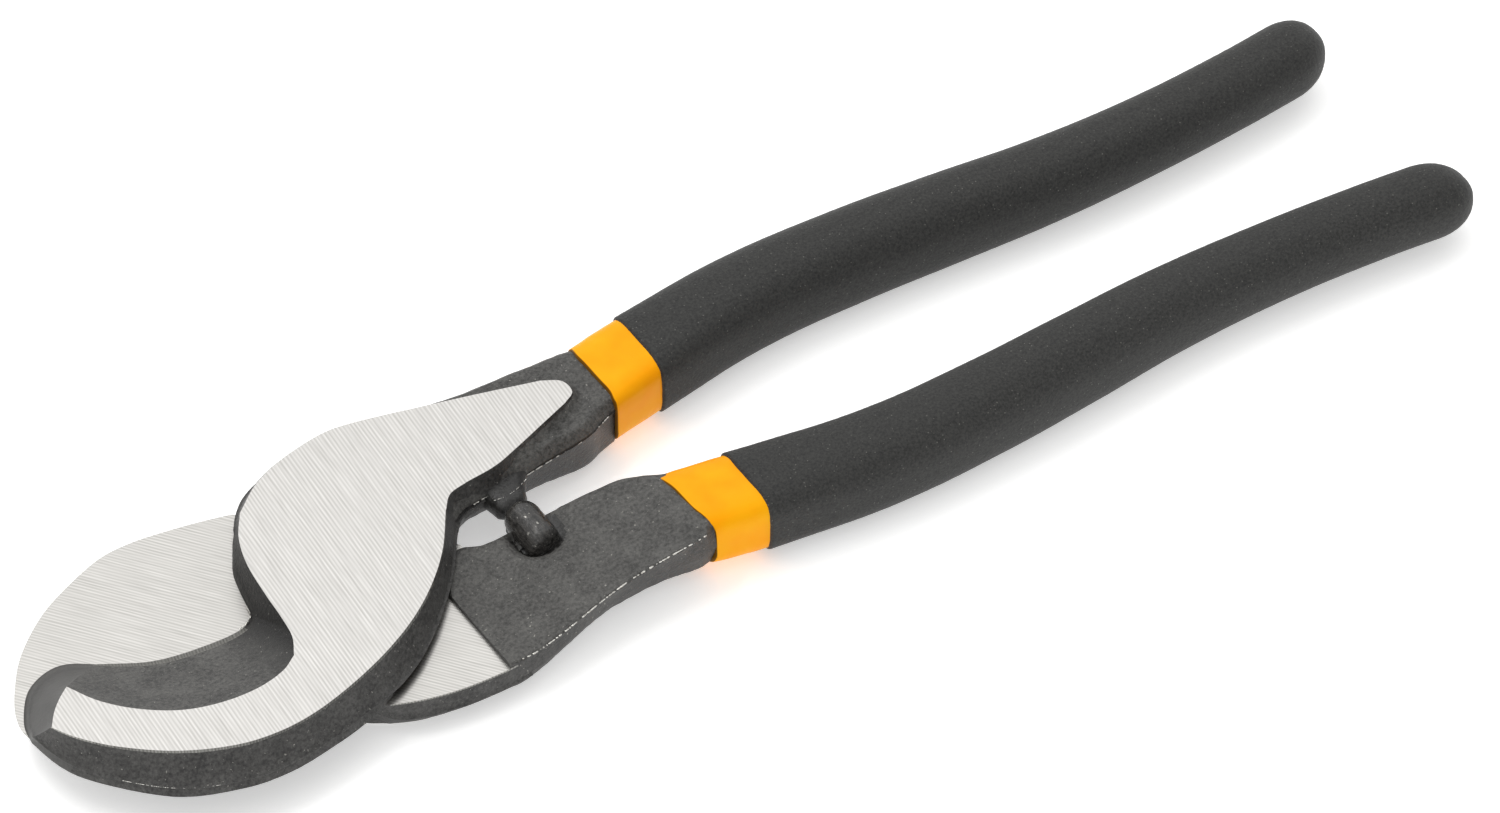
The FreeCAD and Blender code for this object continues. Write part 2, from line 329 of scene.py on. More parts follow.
def forging_scale(name, light, dark, gloss, fleck, relief=0.24, long=1.0, throat_shade=False):
    """Black oxide scale on forged steel: matt charcoal, pebbly at about half a
    millimetre, with small bare flecks where the scale has been knocked off. long draws
    the pattern out along the piece where it has been rubbed, and the throat flag lays
    painted shade over the jaw's throat, darker there than at its mouth."""
    made, tree, shader, place = new_material(name)
    place = add_node(tree, "ShaderNodeMapping", {"Scale": (1.0, 1.0 / long, 1.0)},
                     {"Vector": place}).outputs[0]
    mottle = noise_node(tree, place, 1 / (5 * MM), 3.0)
    grain = noise_node(tree, place, 1 / (0.6 * MM), 3.0, 0.72)
    both = math_node(tree, "MULTIPLY_ADD", mottle, 0.35, grain)
    skin = ramp(tree, both, [(0.50, dark), (0.86, light)])
    # painted shade: near black laid over the scale towards the jaw's throat
    if throat_shade:
        across = add_node(tree, "ShaderNodeSeparateXYZ", links={0: place}).outputs[0]
        depth = add_node(tree, "ShaderNodeMapRange", {1: -27 * MM, 2: -19.5 * MM}, {0: across})
        skin = laid_over(tree, depth.outputs[0], skin, "#1B1A19")
    specks = noise_node(tree, place, 1 / (0.5 * MM), 1.0)
    where = ramp(tree, specks, [(fleck, 0.0), (fleck + 0.05, 1.0)])
    tree.links.new(math_node(tree, "MULTIPLY", where, 0.7), shader.inputs["Metallic"])
    finished(tree, shader, laid_over(tree, where, skin, "#9A9892"),
             ramp(tree, grain, [(0.3, gloss), (0.7, gloss + 0.16)]), both, 0.85,
             relief * MM, 1.5)
    return made


# surface ground: bright satin, straight fine wheel lines almost along the tool
face_steel = ground_steel("carbon_steel_surface_ground", 4.0, 0.62, "#D9D7D4", "#A9A7A3")
# dressed by hand on a wheel: a narrow darker satin line along the ground faces
edge_steel = ground_steel("carbon_steel_hand_dressed_edge", 20.0, 0.5, "#A8A7A2", "#5C5B58")
# filed over the scale: a smooth even grey facet at the tip, faintly glossy
tip_scale = forging_scale("carbon_steel_filed_facet", "#4B4A48", "#353432", 0.34, 0.86,
                          relief=0.05)
# as forged: charcoal, matt and pebbly
scale = forging_scale("forged_steel_black_scale", "#504F4D", "#201F1E", 0.50, 0.72)
# brushed out after forging: a lighter, smoother charcoal, painted shade darkens it to black at the
# throat
hollow_scale = forging_scale("forged_steel_brushed_scale", "#62615E", "#2C2B2A", 0.44, 0.74,
                             throat_shade=True)
# rubbed by handling: black and glossy, its pattern drawn out along the lug
worn_scale = forging_scale("forged_steel_rubbed_scale", "#464441", "#100F0F", 0.17, 0.70,
                           relief=0.13, long=2.2)
# blasted: an even, fine grain; drawn a lighter mid charcoal on the necks' tops as painted light
lit_top_scale = forging_scale("forged_steel_blasted_scale", "#605F5C", "#2E2D2B", 0.50, 0.72,
                           relief=0.3)
# painted shade: the scale drawn near black on walls facing down and in hollows, with a soft sheen
shade_scale = forging_scale("forged_steel_oiled_scale", "#2E2D2B", "#0B0A0A", 0.26, 0.74,
                            relief=0.2)
skins = [face_steel, edge_steel, tip_scale, scale, hollow_scale, worn_scale, lit_top_scale,
         shade_scale]

# heights over the back, mm: the front face and the plane where the levers slide
face_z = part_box("front_lever")[1][2] / MM
front_thick = 6.0
mate_z = face_z - front_thick
# the outline of the ground face in stretches: tip, bevel over the mouth, wall of the
# disc, crest, tongue's end, its low side, crook, belly
front_face = [
    [(-59.4, -5.2), (-57.5, -2.7), (-55.4, -0.7), (-53.2, 0.9)],
    [(-53.2, 0.9), (-50.6, -4.2), (-46.5, -8.8), (-41.0, -12.6), (-35.0, -14.5),
     (-29.0, -14.9), (-24.0, -13.9), (-20.8, -12.0)],
    [(-20.8, -12.0), (-19.0, -8.5), (-18.3, -4.0), (-17.9, 1.0), (-17.0, 8.0),
     (-15.2, 13.5), (-12.3, 18.0)],
    [(-12.3, 18.0), (-7.0, 22.0), (-1.0, 24.4), (7.0, 25.8), (13.0, 25.1),
     (22.0, 22.8), (32.0, 20.1), (41.5, 17.4)],
    [(41.5, 17.4), (44.2, 15.6), (44.4, 12.8), (42.2, 11.3)],
    [(42.2, 11.3), (37.0, 9.4), (31.0, 7.2), (26.0, 5.6), (20.5, 5.0)],
    [(20.5, 5.0), (17.0, 4.2), (14.6, 1.6)],
    [(14.6, 1.6), (10.0, -5.0), (5.0, -10.2), (-1.0, -14.8), (-8.0, -18.6),
     (-16.0, -21.7), (-24.0, -23.8), (-31.0, -24.3), (-38.0, -23.1),
     (-46.0, -19.4), (-53.0, -13.9), (-57.2, -9.0), (-59.4, -5.2)],
]
# the same stretches where the forged walls meet the mating plane
front_foot = [
    [(-61.0, -1.0), (-60.0, 2.4), (-57.8, 6.0), (-55.9, 8.1), (-53.7, 9.4),
     (-51.4, 10.1), (-49.2, 10.1), (-47.1, 9.3), (-44.5, 7.5)],
    [(-44.5, 7.5), (-41.4, 5.7), (-37.7, 3.7), (-33.6, 2.5), (-28.3, 1.8),
     (-24.0, 1.6), (-21.4, 1.8)],
    [(-21.4, 1.8), (-19.6, 2.6), (-18.9, 5.0), (-18.2, 8.0), (-17.2, 12.0),
     (-15.2, 15.6), (-12.8, 19.4)],
    [(-12.8, 19.4), (-8.0, 24.2), (-1.5, 26.6), (7.0, 27.6), (13.5, 26.8),
     (22.5, 24.4), (32.5, 21.6), (42.0, 18.4)],
    [(42.0, 18.4), (45.6, 16.0), (45.8, 12.2), (43.0, 10.0)],
    [(43.0, 10.0), (37.5, 8.0), (31.5, 5.8), (26.0, 4.2), (21.0, 3.6)],
    [(21.0, 3.6), (18.0, 2.6), (15.6, 0.2)],
    [(15.6, 0.2), (11.0, -6.2), (6.0, -11.8), (-1.0, -18.0), (-8.0, -22.2),
     (-16.0, -25.1), (-24.0, -26.9), (-31.0, -27.6), (-39.0, -26.7),
     (-48.2, -22.7), (-55.6, -15.2), (-59.6, -8.7), (-61.0, -1.0)],
]
TIP, BEVEL, DISC_WALL, CREST, TONGUE_END, TONGUE_LOW, CROOK, BELLY = range(8)

# depth below the face, then shares of the draft: near the pivot, on the hook, on the bevel
front_levels = [
    (0.0, 0.0, 0.0, 0.0), (0.28, 0.09, 0.08, 0.05), (0.8, 0.18, 0.16, 0.14),
    (1.5, 0.30, 0.28, 0.26), (2.3, 0.45, 0.42, 0.40), (3.1, 0.61, 0.58, 0.53),
    (3.8, 0.76, 0.73, 0.65), (4.2, 0.87, 0.81, 0.72), (4.42, 1.0, 0.86, 0.76),
    (4.56, 1.0, 0.87, 0.79), (4.75, 0.94, 0.88, 0.83), (5.2, 0.90, 0.93, 0.905),
    (5.55, 0.87, 0.97, 0.935), (5.93, 0.84, 1.0, 1.0),
]
flash_depth = 4.49                       # where the dies parted, under the face
outline_step = 0.5
top_ring, foot_ring, stretch = matched(front_face, front_foot, outline_step)
forged = np.isin(stretch, (CREST, TONGUE_END, TONGUE_LOW, CROOK, BELLY)).astype(float)
hooked = np.clip((-8.0 - foot_ring[:, 0]) / 6.0, 0.0, 1.0) * (stretch == BELLY)
for _ in range(10):                      # the draft changes gradually round the corners
    forged = (np.roll(forged, 1) + forged + np.roll(forged, -1)) / 3.0
away = outward(foot_ring)
throat = np.arange(-9, 10) + int(np.argmax(stretch == DISC_WALL))
head = Shell()
rows = []
for depth, wall, hook, bevel in front_levels:
    share = forged * (wall + (hook - wall) * hooked) + (1.0 - forged) * bevel
    row = []
    for i in range(len(top_ring)):
        p = top_ring[i] + (foot_ring[i] - top_ring[i]) * share[i]
        z = face_z - depth
        push = 0.0
        if depth > 0.5:
            push = hammer((p[0], p[1], z)) * (0.3 if stretch[i] in (TIP, BEVEL) else 1.0)
        if abs(depth - flash_depth) < 0.1:                   # the flash line stands proud
            push += 0.16 * forged[i]
        if 0.0 < depth < 0.5 and stretch[i] == BELLY:
            push += 0.10 * noise.noise(Vector((p[0], p[1], 0.0)) / 1.3)
        p = p + away[i] * push
        if depth > flash_depth + 0.21 and stretch[i] in (BELLY, CROOK):
            p = relieved(p, 1.0)
        row.append((p[0], p[1], z))
    row = np.array(row)
    for _ in range(int(26 * min(depth / 1.5, 1.0))):     # the throat is filleted
        calm = (np.roll(row, 1, 0) + row + np.roll(row, -1, 0)) / 3.0
        row[throat] = calm[throat]
    rows.append(head.ring([tuple(q) for q in row]))
hook_flash = [(p[0], p[1], face_z - flash_depth) for p in
              (top_ring + (foot_ring - top_ring) * 0.865 + away * 0.13)
              [(stretch == BELLY) & (foot_ring[:, 0] < -42.0) & (foot_ring[:, 0] > -55.0)]]


def front_stuff(level):
    """Skins of the head's wall: filed at the tip and toe, dressed along its edges."""
    toe_level, edge_level = 7, 11

    def pick(i):
        s = stretch[i]
        if s == TIP:
            return TIPS
        if s == BELLY and level == 0:
            return EDGE
        if s == BELLY and level >= toe_level and foot_ring[i][0] < -59.0:
            return TIPS
        if s == DISC_WALL:
            return HOLLOW
        if s == BEVEL:
            return EDGE if level >= edge_level else HOLLOW
        return SCALE
    return pick


for k, (a, b) in enumerate(zip(rows, rows[1:])):
    head.band(a, b, front_stuff(k))
head.cap([rows[0]], FACE)
head.cap([rows[-1]], SCALE)


def spline_rows(table, xs):
    """Smooth values at each x through a table whose first column is x."""
    t = np.array(table, float)
    line = walk(t, 240)
    line = np.vstack([line, t[-1]])
    return np.stack([np.interp(xs, line[:, 0], line[:, i]) for i in range(1, t.shape[1])], 1)


def inside_gap(point, outline):
    """Distance in plan from a point to an outline, negative inside it."""
    a = outline
    b = np.roll(outline, -1, 0)
    d = b - a
    t = np.clip(((point - a) * d).sum(1) / ((d * d).sum(1) + 1e-12), 0.0, 1.0)
    near = np.linalg.norm(a + d * t[:, None] - point, axis=1).min()
    x, y = point
    cross = (a[:, 1] > y) != (b[:, 1] > y)
    hit = a[:, 0] + (y - a[:, 1]) * d[:, 0] / (d[:, 1] + 1e-12)
    return -near if np.count_nonzero(cross & (x < hit)) % 2 else near


# the neck: x, inner edge, outer edge, how far it reaches past the mating plane
neck_front = [
    (8.6, 10.6, 27.4, 0.8), (14.0, 1.8, 27.0, 1.1), (20.0, 3.6, 26.0, 1.6),
    (28.0, 4.6, 24.6, 2.6), (36.0, 5.6, 24.0, 3.8), (43.0, 6.2, 23.6, 4.8),
    (46.5, 7.6, 23.2, 5.0), (49.6, 8.6, 22.8, 5.0),
]
last_inner, last_top = 5, 33             # points of a section that end its inner wall and top
xs = np.arange(8.6, 49.7, 0.5)
rows = []
for x, (inner, outer, reach) in zip(xs, spline_rows(neck_front, xs)):
    low = mate_z - reach
    flash = mate_z + 2.1 + 0.5 * math.sin(x * 0.16)
    top = mate_z + 4.35 + 0.35 * min(max((x - 40.0) / 8.0, 0.0), 1.0)
    section = [(inner + 1.1, low), (inner + 0.5, low + 0.35), (inner + 0.25, low + 1.0),
               (inner + 0.05, (low + flash) / 2), (inner - 0.05, flash - 0.3),
               (inner - 0.2, flash), (inner, flash + 0.3), (inner + 0.3, flash + 0.9),
               (inner + 0.75, top - 0.55), (inner + 1.3, top - 0.15)]
    for y in np.linspace(inner + 2.0, outer - 2.2, 22):
        gap = inside_gap(np.array((x, y)), top_ring)
        rise = 1.35 * math.exp(-max(gap, 0.0) / 0.75) - 0.5 * math.exp(-((gap - 1.6) / 0.8) ** 2)
        section.append((y, min(top + rise, face_z - 0.25)))
    section += [(outer - 1.5, top - 0.15), (outer - 0.9, top - 0.55), (outer - 0.3, flash + 0.9),
                (outer, flash + 0.3), (outer + 0.15, flash), (outer, flash - 0.3),
                (outer - 0.8, (low + flash) / 2), (outer - 1.6, low + 1.0),
                (outer - 2.1, low + 0.35), (outer - 2.8, low)]
    section += [(y, low) for y in np.linspace(outer - 4.0, inner + 2.2, 8)]
    middle = np.mean(section, axis=0)
    row = []
    for y, z in section:
        d = np.array((y, z)) - middle
        d = d / (np.linalg.norm(d) + 1e-9) * hammer((x, y, z), 0.16, 0.08)
        row.append((x, y + d[0], z + d[1]))
    rows.append(row)
# painted shade on the neck's inner wall in the near black skin, painted light on its top
head.tube(rows, lambda i: SHADED if i <= last_inner else LIT_TOP if i <= last_top else SCALE, SCALE)

# landing for the stop, proud of the neck's inner side
lug_x = 25.8
rows = []
for t in np.linspace(0.0, 1.0, 16):
    y = 0.15 + 7.6 * t
    flare = t ** 1.6
    left = lug_x - 2.4 - 1.8 * flare
    right = lug_x + 3.0 + 6.6 * flare ** 1.2
    low = mate_z - 1.3 - 0.6 * t
    high = mate_z + 2.6 + 0.8 * t
    soft = min(1.0, 0.72 + 2.4 * t)
    row = []
    for c, s in squared(40, 0.72):
        x = (left + right) / 2 + c * soft * (right - left) / 2
        z = (low + high) / 2 + s * soft * (high - low) / 2
        row.append((x, y + 1.2 * hammer((x, y, z)), z))
    rows.append(row)
# the landing is drawn in the near black skin of painted shade
head.tube(rows, SHADED, SHADED)
front_lever = head.piece("front_lever_forging", skins)
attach(front_lever, "front_half")
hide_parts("front_lever")

# ---- rear lever ----------------------------------------------------------------
# The second forging lies behind: a flat blade ground on the face the hook slides
# over, a raised neck left in black scale, and a round stop lug forged on it.
# blade: the same surface grinding, its lines slanting across the blade
blade_steel = ground_steel("carbon_steel_blade_ground", -38.0, 0.58, "#D3D1CD", "#A3A19D")

# the slide face's outline: cutting edge, throat, belly, neck, shoulder, blade's back
rear_face = [
    [(-59.4, -3.4), (-52.0, -4.9), (-43.0, -6.8), (-33.0, -8.2), (-23.0, -8.4)],
    [(-23.0, -8.4), (-19.5, -10.5), (-17.5, -15.0), (-15.6, -20.5), (-11.0, -23.8)],
    [(-11.0, -23.8), (-6.0, -25.6), (0.0, -26.8), (7.0, -27.2), (12.0, -26.9)],
    [(12.0, -26.9), (15.0, -12.0), (15.6, -1.0)],
    [(15.6, -1.0), (11.0, 6.2), (6.0, 11.8), (-1.0, 18.2), (-8.0, 22.8)],
    [(-8.0, 22.8), (-15.0, 24.6), (-21.0, 25.8), (-27.0, 26.6), (-33.0, 26.2),
     (-41.0, 23.3), (-47.0, 20.1), (-53.0, 15.2), (-57.0, 10.2), (-60.0, 5.0),
     (-60.9, 0.6), (-59.4, -3.4)],
]
# the same stretches on the back face
rear_back = [
    [(-55.6, 5.0), (-49.0, 4.4), (-41.5, 2.2), (-32.5, 0.8), (-22.0, 0.4)],
    [(-22.0, 0.4), (-17.5, -5.0), (-15.6, -13.0), (-13.6, -18.5), (-9.8, -21.4)],
    [(-9.8, -21.4), (-5.2, -23.2), (0.6, -24.2), (7.0, -24.6), (11.0, -24.2)],
    [(11.0, -24.2), (12.8, -12.0), (13.2, -1.6)],
    [(13.2, -1.6), (9.2, 4.4), (4.4, 9.8), (-2.4, 15.8), (-9.0, 20.0)],
    [(-9.0, 20.0), (-15.6, 21.8), (-21.4, 22.9), (-27.0, 23.8), (-32.2, 23.5),
     (-39.8, 20.9), (-45.4, 18.0), (-50.0, 14.2), (-53.0, 10.8), (-54.6, 8.4),
     (-55.4, 6.6), (-55.6, 5.0)],
]
EDGE_SIDE, THROAT, REAR_BELLY, NECK_SIDE, SHOULDER, BLADE_BACK = range(6)
# depth below the mating plane, then the share drawn in on belly, bevel and blade back
rear_levels = [
    (0.0, 0.0, 0.0, 0.0), (0.22, -0.03, 0.05, 0.02), (1.25, -0.06, 0.20, 0.15),
    (1.4, -0.07, 0.22, 0.17), (2.0, -0.10, 0.30, 0.25), (3.0, -0.12, 0.44, 0.38),
    (3.3, -0.16, 0.49, 0.42), (3.5, -0.16, 0.52, 0.45), (3.8, -0.02, 0.57, 0.49),
    (4.6, 0.16, 0.68, 0.60), (5.6, 0.45, 0.82, 0.76), (6.4, 0.72, 0.92, 0.89),
    (6.8, 0.88, 0.97, 0.96), (7.0, 1.0, 1.0, 1.0),
]
top_ring2, back_ring, stretch2 = matched(rear_face, rear_back, outline_step)
kinds = np.zeros((len(top_ring2), 3))
for i, s in enumerate(stretch2):
    kinds[i, 0 if s in (REAR_BELLY, NECK_SIDE, SHOULDER) else
          1 if s in (EDGE_SIDE, THROAT) else 2] = 1.0
for _ in range(16):                      # the walls run into one another gradually
    kinds = (np.roll(kinds, 1, 0) + kinds + np.roll(kinds, -1, 0)) / 3.0
away2 = outward(top_ring2)
rear = Shell()
rows = []
for depth, belly, bevel, back in rear_levels:
    share = kinds @ np.array((belly, bevel, back))
    row = []
    for i in range(len(top_ring2)):
        p = top_ring2[i] + (back_ring[i] - top_ring2[i]) * share[i]
        z = mate_z - depth
        push = hammer((p[0], p[1], z)) if 0.5 < depth < 6.9 else 0.0
        if 3.2 < depth < 3.6:                                # the flash line
            push += 0.1 * kinds[i, 0]
        p = p + away2[i] * push
        if depth < 1.3 and stretch2[i] in (NECK_SIDE, SHOULDER, BLADE_BACK):
            p = relieved(p, -1.0)
        row.append((p[0], p[1], z))
    rows.append(rear.ring(row))


def rear_stuff(level):
    """Skins of the rear wall: dressed along the slide face, brushed under the edge."""
    def pick(i):
        s = stretch2[i]
        if s == EDGE_SIDE:
            return EDGE if level < 2 else HOLLOW
        return EDGE if level == 0 and s in (REAR_BELLY, BLADE_BACK) else SCALE
    return pick


for k, (a, b) in enumerate(zip(rows, rows[1:])):
    rear.band(a, b, rear_stuff(k))
rear.cap([rows[0]], FACE)
# the seat of the pin's head in the back face
pin_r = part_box("pivot_pin")[1][0] / MM
seat = rear.ring(circle(pin_r + 0.12, 0.0))
sunk = rear.ring([(v.co.x * 0.93, v.co.y * 0.93, 0.8) for v in seat])
rear.band(seat, sunk, EDGE)
rear.cap([sunk], EDGE)
rear.cap([rows[-1], seat], FACE)

# the neck: x, inner edge, outer edge, rise over the mating plane, thickness below it
neck_rear = [
    (8.3, 9.4, 27.0, 0.75, 6.6), (10.5, 5.2, 27.2, 0.85, 6.5), (14.0, 2.0, 26.9, 1.1, 6.2),
    (17.5, 3.2, 26.3, 1.3, 5.9), (20.0, 3.6, 25.8, 1.6, 5.6), (28.0, 4.1, 24.2, 2.6, 5.1),
    (36.0, 4.7, 23.6, 3.8, 4.8), (41.0, 5.3, 23.6, 4.4, 4.8), (44.5, 6.8, 23.5, 4.8, 4.8),
    (47.0, 8.2, 23.0, 4.9, 4.8), (49.8, 8.9, 21.9, 4.8, 4.6),
]
lug_r = 3.0
lug_low = -10.0 + lug_r
lug_z = mate_z + 1.5
middle_y = 14                            # between the neck's inner and outer walls
first_top, last_top = 6, 54              # points of a section between its two walls
xs = np.arange(8.3, 49.8, 0.4)
rows, picks = [], []
for x, (inner, outer, rise, thick) in zip(xs, spline_rows(neck_rear, xs)):
    top = mate_z + rise
    low = mate_z - thick
    outer += 0.12 * noise.noise(Vector((x / 1.7, 3.0, 0.0)))
    section = [(inner + 2.6, low), (inner + 1.9, low + 0.4), (inner + 1.4, low + 1.2),
               (inner + 0.6, (low + top) / 2), (inner + 0.15, top - 1.3),
               (inner + 0.1, top - 0.6), (inner + 0.35, top - 0.2), (inner + 0.9, top)]
    # towards the band the wall fills out and the corner rounds off, to slip under the coat
    slip = min(max((x - 46.4) / 1.4, 0.0), 1.0)
    for y in np.linspace(inner + 1.5, outer - 0.7 - 1.5 * slip, 46):
        section.append((y, top))
    pull = min(max((x - 12.0) / 18.0, 0.0), 1.0) - 0.75 * min(max((x - 40.0) / 7.5, 0.0), 1.0)
    section += [(outer - 0.25 - 1.4 * slip, top - 0.05 - 0.12 * slip),
                (outer - 0.8 * slip, top - 0.3 - 0.45 * slip),
                (outer - 0.05 - 0.5 * slip, top - 0.6 - 0.7 * slip),
                (outer - 0.35 * pull - 0.35 * slip, top - 1.2 - 0.8 * slip),
                (outer + 0.2 - 1.3 * pull, (low + top) / 2),
                (outer - 0.9 - 1.5 * pull, low + 1.2), (outer - 1.7 - 1.4 * pull, low + 0.4),
                (outer - 2.5 - 1.4 * pull, low)]
    section += [(y, low) for y in np.linspace(outer - 5.0, inner + 4.0, 8)]
    row = []
    hollow = []                          # painted shade goes in the hollow round the stop lug
    for y, z in section:
        bumpy = hammer((x, -y, z), 0.15, 0.07)
        hollow.append(False)
        if z > top - 0.1:
            off = math.hypot(x - lug_x, max(0.0, y + lug_low, -lug_r - y))
            near_side = min(max((lug_x - x) / 2.5, -1.0), 1.0)
            hollow[-1] = off < lug_r + 0.9 - 0.4 * near_side + 0.5 * noise.noise(
                Vector((x, y, 0.0)) / 0.9)
            bumpy -= (1.15 + 0.6 * near_side) * math.exp(-((off - lug_r - 0.1) / 1.15) ** 2)
            bumpy += 0.22 * math.exp(-((off - lug_r - 2.9) / 0.7) ** 2)
            row.append((x, -y, z + bumpy))
        else:
            row.append((x, -(y + (bumpy if y > middle_y else -bumpy)), z))
    rows.append(row)
    # the neck's top takes the skin of painted light, the hollow round the lug that of painted
    # shade
    picks.append(lambda i, hollow=hollow: SHADED if hollow[i] else
                 LIT_TOP if first_top <= i <= last_top else SCALE)
rear.tube(rows, picks, SCALE)

# the stop lug: a rounded bar lying across the neck, its nose over the gap
lug_from, lug_long = 0.12, 10.0
rows = []
for a in np.linspace(0.0, math.pi, 40):
    t = 0.5 - 0.5 * math.cos(a)
    y = -lug_from - (lug_long - lug_from) * t
    nose = 1.0 - abs(2.0 * t - 1.0)
    blunt = 2.4 if t < 0.5 else 4.5
    flat = 1.0 - min(nose * lug_long / (2 * lug_r), 1.0)
    round_off = math.sqrt(max(1.0 - flat ** blunt, 0.0004))
    row = []
    for b in np.linspace(0.0, 2 * math.pi, 36, endpoint=False):
        c = math.cos(b) * lug_r * round_off
        s = math.sin(b) * (lug_r + 0.1) * round_off
        push = 1.0 + 0.03 * noise.noise(Vector((c, y, s)) / 1.4)
        row.append((lug_x + c * push, y, lug_z + s * push - 0.25 * t))
    rows.append(row)
rear.tube(rows, WORN, WORN)

# web between the lug and the neck's inner edge
rows = []
for t in np.linspace(0.0, 1.0, 12):
    y = -1.3 - 5.8 * t
    left = lug_x - 2.3 - 1.6 * t ** 1.7
    right = lug_x + 2.4 + 6.2 * t ** 1.7
    low = mate_z - 2.2 - 1.2 * t
    high = mate_z + 1.2
    rows.append([((left + right) / 2 + c * (right - left) / 2, y,
                  (low + high) / 2 + s * (high - low) / 2) for c, s in squared(36, 0.6)])
rear.tube(rows, SCALE, SCALE)
rear_lever = rear.piece("rear_lever_forging", [blade_steel] + skins[1:])
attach(rear_lever, "rear_half")
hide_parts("rear_lever")

# ---- pivot pin -----------------------------------------------------------------
# A turned steel pin, tight in the front lever. Its coned head is faced off level
# with the back, with a small centre dimple left by the lathe.
# turned in a lathe: bright, with fine rings about its axis
turned_steel = ground_steel("free_cutting_steel_turned", 0.0, 0.3, "#C9C8C3", "#8E8D88",
                            rings=True)
pin = Shell()
pin_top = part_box("pivot_pin")[1][2] / MM
# radius and height from the centre dimple, over the head's edge and up the shank
profile = [(0.9, 0.35), (1.1, 0.03), (1.3, 0.0), (4.0, 0.0), (pin_r - 0.3, 0.0),
           (pin_r - 0.08, 0.06), (pin_r, 0.25), (6.02, 2.0), (5.95, 2.3), (5.95, pin_top - 1.0),
           (5.4, pin_top - 0.3)]
pin.tube([circle(r, z) for r, z in profile], 0, 0)
pivot = pin.piece("pivot_pin_turned", [turned_steel])
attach(pivot, "front_half")
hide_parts("pivot_pin")

# ---- dipped sleeves --------------------------------------------------------------
# Each handle is dipped twice: first a thin amber vinyl coat that stays in sight as
# a band, then a thick charcoal foamed vinyl that makes the grip. Both sag a little.


def new_tree(name, floats, counts, from_mesh=False):
    """A node tree with named inputs and their defaults. Gives it and the inputs' sockets."""
    tree = bpy.data.node_groups.new(name, "GeometryNodeTree")
    socket = tree.interface.new_socket
    if from_mesh:
        socket("Geometry", in_out="INPUT", socket_type="NodeSocketGeometry")
    socket("Geometry", in_out="OUTPUT", socket_type="NodeSocketGeometry")
    for kind, values in (("Float", floats), ("Int", counts)):
        for label, value in values.items():
            socket(label, in_out="INPUT", socket_type="NodeSocket" + kind).default_value = value
    socket("Material", in_out="INPUT", socket_type="NodeSocketMaterial")
    return tree, tree.nodes.new("NodeGroupInput").outputs


def closed_tree(tree, shaped, material):
    """Realizes what is shaped, gives it its material and ends the tree."""
    real = add_node(tree, "GeometryNodeRealizeInstances", links={0: shaped})
    last = add_node(tree, "GeometryNodeSetMaterial",
                    links={"Geometry": real.outputs[0], "Material": material})
    add_node(tree, "NodeGroupOutput", links={0: last.outputs[0]})
    return tree


